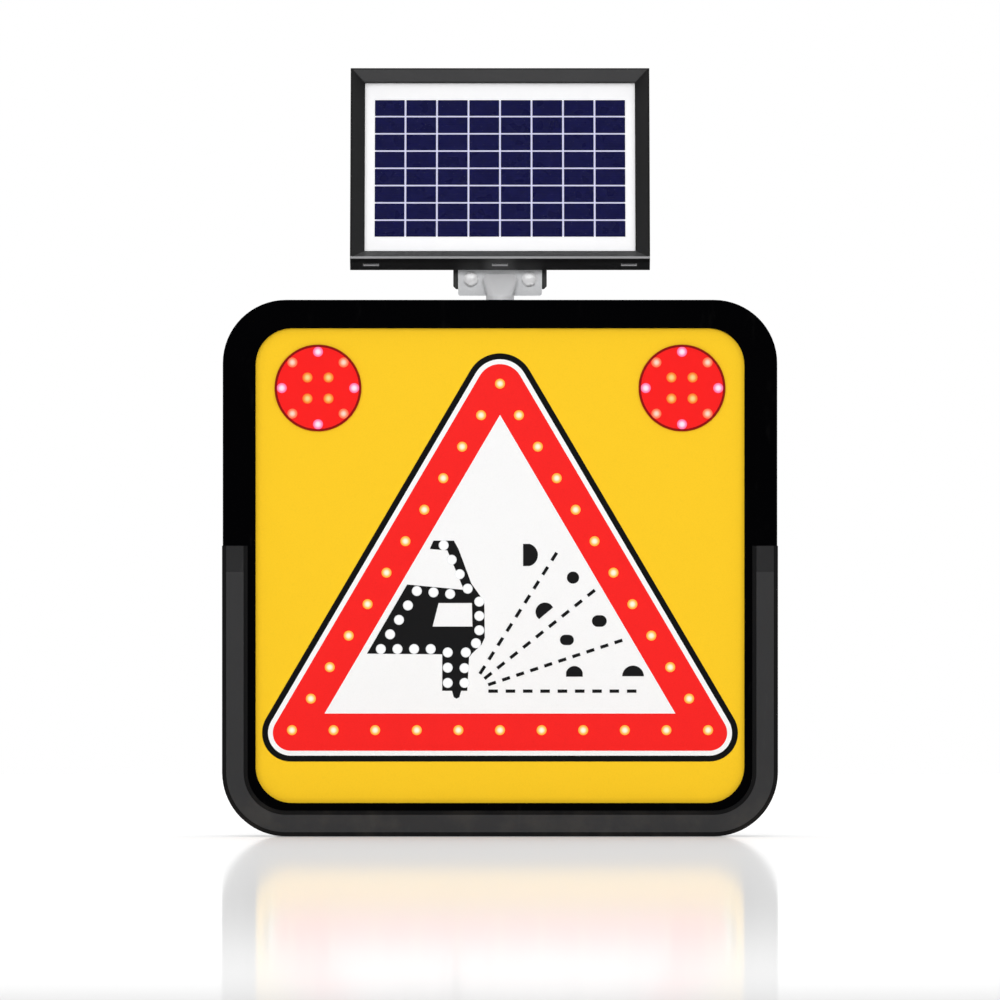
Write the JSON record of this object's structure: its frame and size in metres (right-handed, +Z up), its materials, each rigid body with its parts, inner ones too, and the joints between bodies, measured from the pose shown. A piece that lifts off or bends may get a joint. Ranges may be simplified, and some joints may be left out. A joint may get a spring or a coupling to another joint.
{
  "type": "solar led warning sign",
  "caption": "Flat square road warning sign with a lit triangle, two flashers and a tilting solar panel on a swivelling mast.",
  "frame": {"origin": "centre of the flat base of the case, on the surface it stands on", "axes": "+Z up, the lit face looks along -Y, +X to the right of someone who faces the sign"},
  "size_m": [0.6016, 0.1822, 0.8342],
  "materials": {
    "case_black": "fine grained, satin",
    "guard_black": "satin",
    "guard_grey": "satin",
    "guard_dark": "satin",
    "plate_aluminium": "mill finish",
    "sheeting_yellow": "retroreflective film",
    "film_black": "film",
    "film_white": "retroreflective film",
    "film_red": "retroreflective film",
    "flasher_red": "moulded",
    "rim_red": "moulded",
    "led_amber": "lit, emissive",
    "led_white": "lit, emissive",
    "led_rose": "lit, emissive",
    "led_gold": "lit, emissive",
    "board_green": "solder mask",
    "nylon": "moulded",
    "steel_zinc": "zinc plated",
    "seal_black": "foam",
    "tray_steel": "galvanised",
    "battery_grey": "moulded",
    "strap_blue": "woven",
    "components": "mixed parts",
    "wire": "insulated wire",
    "bush_black": "moulded",
    "cast_aluminium": "as cast",
    "rail_aluminium": "extruded",
    "strap_steel": "galvanised",
    "switch_black": "moulded",
    "rocker_red": "moulded",
    "hatch_black": "fine grained, satin",
    "lock_zinc": "satin",
    "mast_zinc": "hot-dip galvanised",
    "plate_zinc": "hot-dip galvanised",
    "yoke_black": "powder coated",
    "panel_frame_black": "anodised",
    "panel_glass": "clear",
    "cell_blue": "silicon",
    "sheet_white": "film",
    "box_black": "moulded"
  },
  "bodies": {
    "case": {"front_frame": "case_black", "lower_guard": "guard_black", "guard_strip": "guard_grey", "guard_end_caps": "guard_dark", "face_plate": "plate_aluminium", "yellow_sheeting": "sheeting_yellow", "triangle_black_film": "film_black", "triangle_white_film": "film_white", "triangle_red_film": "film_red", "triangle_centre_film": "film_white", "pictogram_film": "film_black", "flasher_discs": "flasher_red", "flasher_rims": "rim_red", "triangle_leds": "led_amber", "pictogram_leds": "led_white", "flasher_ring_leds": "led_rose", "flasher_core_leds": "led_gold", "triangle_led_boards": "board_green", "pictogram_led_board": "board_green", "flasher_led_boards": "board_green", "board_spacers": "nylon", "board_screws": "steel_zinc", "case_gasket": "seal_black", "rear_shell": "case_black", "case_screws": "steel_zinc", "battery_tray": "tray_steel", "battery_pack": "battery_grey", "battery_strap": "strap_blue", "control_board": "board_green", "control_components": "components", "wiring_harness": "wire", "mast_bush": "bush_black", "mast_socket": "cast_aluminium", "back_wall_bolts": "steel_zinc", "upper_rail": "rail_aluminium", "lower_rail": "rail_aluminium", "clamp_saddles": "cast_aluminium", "clamp_straps": "strap_steel", "clamp_bolts": "steel_zinc", "switch_body": "switch_black", "hatch_seal": "seal_black", "hatch_hinge_leaf": "steel_zinc", "hatch_hinge_pin": "steel_zinc"},
    "mast": {"mast_tube": "mast_zinc", "mast_plate": "plate_zinc", "tilt_yoke": "yoke_black", "yoke_bolts": "steel_zinc", "pivot_bolts": "steel_zinc"},
    "panel": {"panel_frame": "panel_frame_black", "panel_glass": "panel_glass", "solar_cells": "cell_blue", "cell_backsheet": "sheet_white", "panel_back_plate": "panel_frame_black", "junction_box": "box_black", "panel_bracket": "yoke_black", "bracket_screws": "steel_zinc"},
    "hatch": {"battery_hatch": "hatch_black", "hatch_lock_body": "lock_zinc"},
    "lock": {"hatch_lock_cam": "lock_zinc"},
    "rocker": {"switch_rocker": "rocker_red"}
  },
  "joints": [
    {"name": "mast_swivel", "type": "hinge", "parent": "case", "child": "mast", "pos_m": [0, -0.005, 0.58], "axis": [0, 0, 1], "range_deg": [-180, 180]},
    {"name": "panel_tilt", "type": "hinge", "parent": "mast", "child": "panel", "pos_m": [0, 0.02503, 0.6409], "axis": [-1, 0, 0], "range_deg": [-10, 35]},
    {"name": "hatch_hinge", "type": "hinge", "parent": "case", "child": "hatch", "pos_m": [-0.26, 0.05, 0.115], "axis": [0, 0, 1], "range_deg": [0, 110]},
    {"name": "lock_turn", "type": "hinge", "parent": "hatch", "child": "lock", "pos_m": [-0.098, 0.045, 0.115], "axis": [0, 1, 0], "range_deg": [0, 90]},
    {"name": "switch_rock", "type": "hinge", "parent": "case", "child": "rocker", "pos_m": [0.15, 0.044, 0.13], "axis": [1, 0, 0], "range_deg": [0, 16]}
  ]
}
